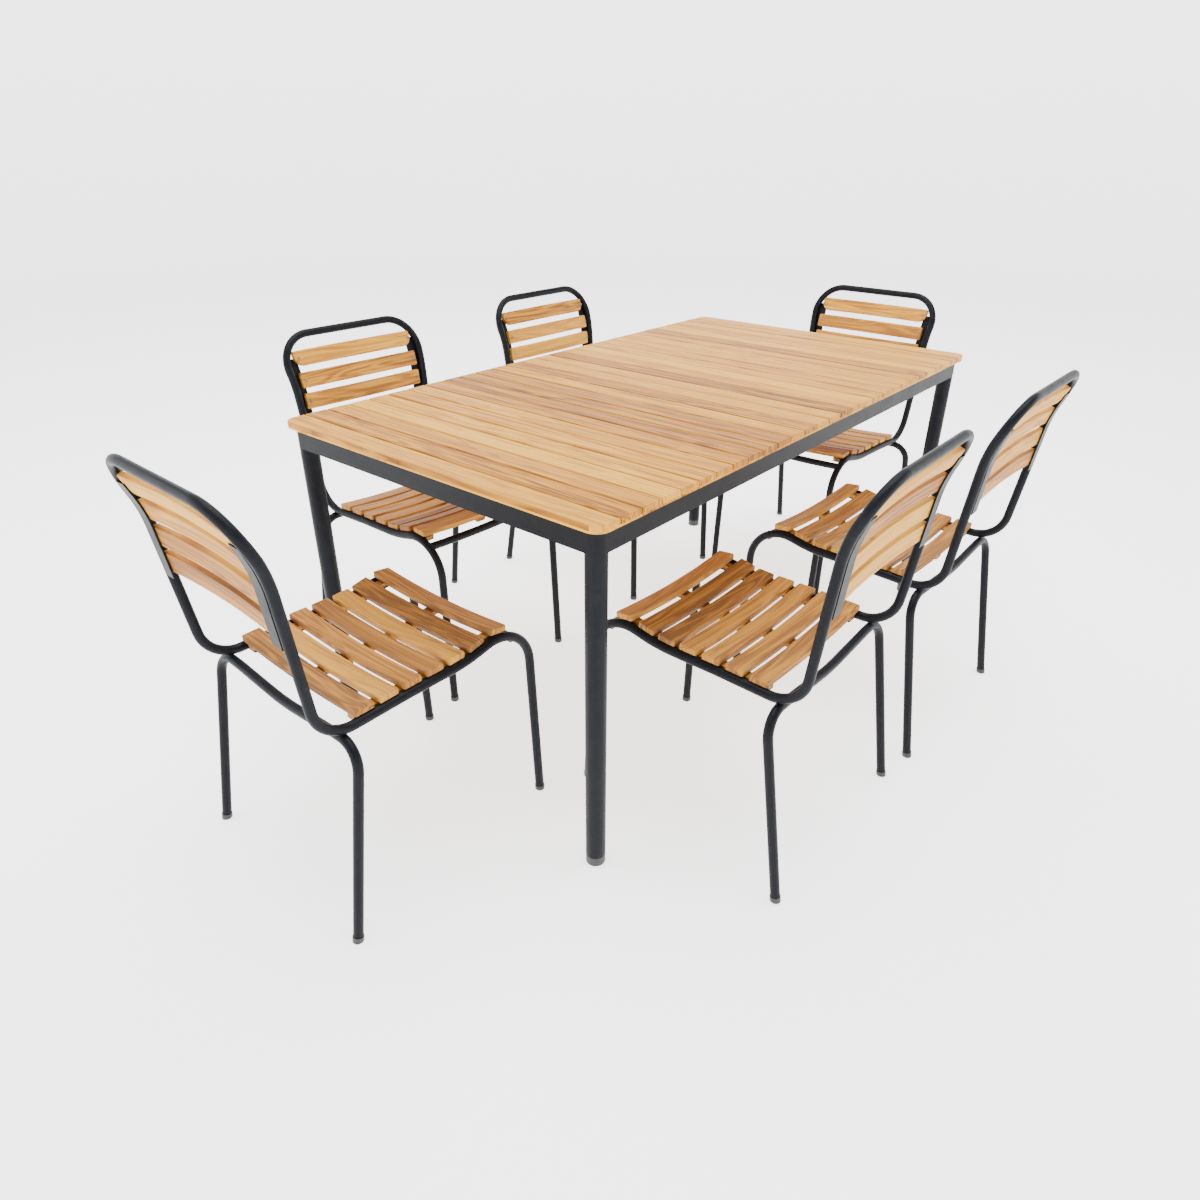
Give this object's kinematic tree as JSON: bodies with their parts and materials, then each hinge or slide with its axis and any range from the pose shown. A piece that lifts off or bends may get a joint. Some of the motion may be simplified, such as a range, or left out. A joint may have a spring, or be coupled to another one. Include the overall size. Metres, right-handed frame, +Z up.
{
  "type": "patio dining set",
  "caption": "Rectangular slatted wooden patio table on a round-legged metal underframe, with bent-tube metal chairs that have dished wooden seat and back slats",
  "frame": {"origin": "On the floor, in the middle of the whole set's footprint as it stands in the rest pose", "axes": "+X along the table's length, +Y across it, +Z up"},
  "size_m": [2.39, 1.6356, 0.85],
  "materials": {
    "table_wood": "oiled acacia, honey brown, planed and lightly eased edges",
    "chair_wood": "oiled acacia, a little greyer than the table",
    "frame_paint": "charcoal powder coat, satin",
    "black_plastic": "moulded black plastic, matt",
    "screw_steel": "dark zinc-plated steel"
  },
  "bodies": {
    "table": {"table_bracket_bolts": "screw_steel", "table_corner_brackets": "frame_paint", "table_cross_rails": "frame_paint", "table_far_legs": "frame_paint", "table_leg_feet": "black_plastic", "table_leg_pads": "black_plastic", "table_long_aprons": "frame_paint", "table_near_legs": "frame_paint", "table_short_aprons": "frame_paint", "table_top_battens": "table_wood", "table_top_rim": "table_wood", "table_top_slats": "table_wood"},
    "chair_end_near": {"chair_end_near_back_slats": "chair_wood", "chair_end_near_foot_plugs": "black_plastic", "chair_end_near_main_frame": "frame_paint", "chair_end_near_rear_leg_loop": "frame_paint", "chair_end_near_seat_battens": "chair_wood", "chair_end_near_seat_slats": "chair_wood", "chair_end_near_slat_screws": "screw_steel", "chair_end_near_slat_supports": "frame_paint"},
    "chair_side_left_near": {"chair_side_left_near_back_slats": "chair_wood", "chair_side_left_near_foot_plugs": "black_plastic", "chair_side_left_near_main_frame": "frame_paint", "chair_side_left_near_rear_leg_loop": "frame_paint", "chair_side_left_near_seat_battens": "chair_wood", "chair_side_left_near_seat_slats": "chair_wood", "chair_side_left_near_slat_screws": "screw_steel", "chair_side_left_near_slat_supports": "frame_paint"},
    "chair_side_left_far": {"chair_side_left_far_back_slats": "chair_wood", "chair_side_left_far_foot_plugs": "black_plastic", "chair_side_left_far_main_frame": "frame_paint", "chair_side_left_far_rear_leg_loop": "frame_paint", "chair_side_left_far_seat_battens": "chair_wood", "chair_side_left_far_seat_slats": "chair_wood", "chair_side_left_far_slat_screws": "screw_steel", "chair_side_left_far_slat_supports": "frame_paint"},
    "chair_end_far": {"chair_end_far_back_slats": "chair_wood", "chair_end_far_foot_plugs": "black_plastic", "chair_end_far_main_frame": "frame_paint", "chair_end_far_rear_leg_loop": "frame_paint", "chair_end_far_seat_battens": "chair_wood", "chair_end_far_seat_slats": "chair_wood", "chair_end_far_slat_screws": "screw_steel", "chair_end_far_slat_supports": "frame_paint"},
    "chair_side_right_near": {"chair_side_right_near_back_slats": "chair_wood", "chair_side_right_near_foot_plugs": "black_plastic", "chair_side_right_near_main_frame": "frame_paint", "chair_side_right_near_rear_leg_loop": "frame_paint", "chair_side_right_near_seat_battens": "chair_wood", "chair_side_right_near_seat_slats": "chair_wood", "chair_side_right_near_slat_screws": "screw_steel", "chair_side_right_near_slat_supports": "frame_paint"},
    "chair_side_right_far": {"chair_side_right_far_back_slats": "chair_wood", "chair_side_right_far_foot_plugs": "black_plastic", "chair_side_right_far_main_frame": "frame_paint", "chair_side_right_far_rear_leg_loop": "frame_paint", "chair_side_right_far_seat_battens": "chair_wood", "chair_side_right_far_seat_slats": "chair_wood", "chair_side_right_far_slat_screws": "screw_steel", "chair_side_right_far_slat_supports": "frame_paint"}
  },
  "joints": [
    {"name": "chair_end_near_pull_out", "type": "slide", "parent": "table", "child": "chair_end_near", "axis": [-0.9997, 0.0227, 0], "range_m": [0, 0.4]},
    {"name": "chair_side_left_near_pull_out", "type": "slide", "parent": "table", "child": "chair_side_left_near", "axis": [0.0157, 0.9999, 0], "range_m": [0, 0.4]},
    {"name": "chair_side_left_far_pull_out", "type": "slide", "parent": "table", "child": "chair_side_left_far", "axis": [-0.0017, 1, 0], "range_m": [0, 0.4]},
    {"name": "chair_end_far_pull_out", "type": "slide", "parent": "table", "child": "chair_end_far", "axis": [0.9997, -0.0227, 0], "range_m": [0, 0.4]},
    {"name": "chair_side_right_near_pull_out", "type": "slide", "parent": "table", "child": "chair_side_right_near", "axis": [0, -1, 0], "range_m": [0, 0.4]},
    {"name": "chair_side_right_far_pull_out", "type": "slide", "parent": "table", "child": "chair_side_right_far", "axis": [-0.0209, -0.9998, 0], "range_m": [0, 0.4]}
  ]
}
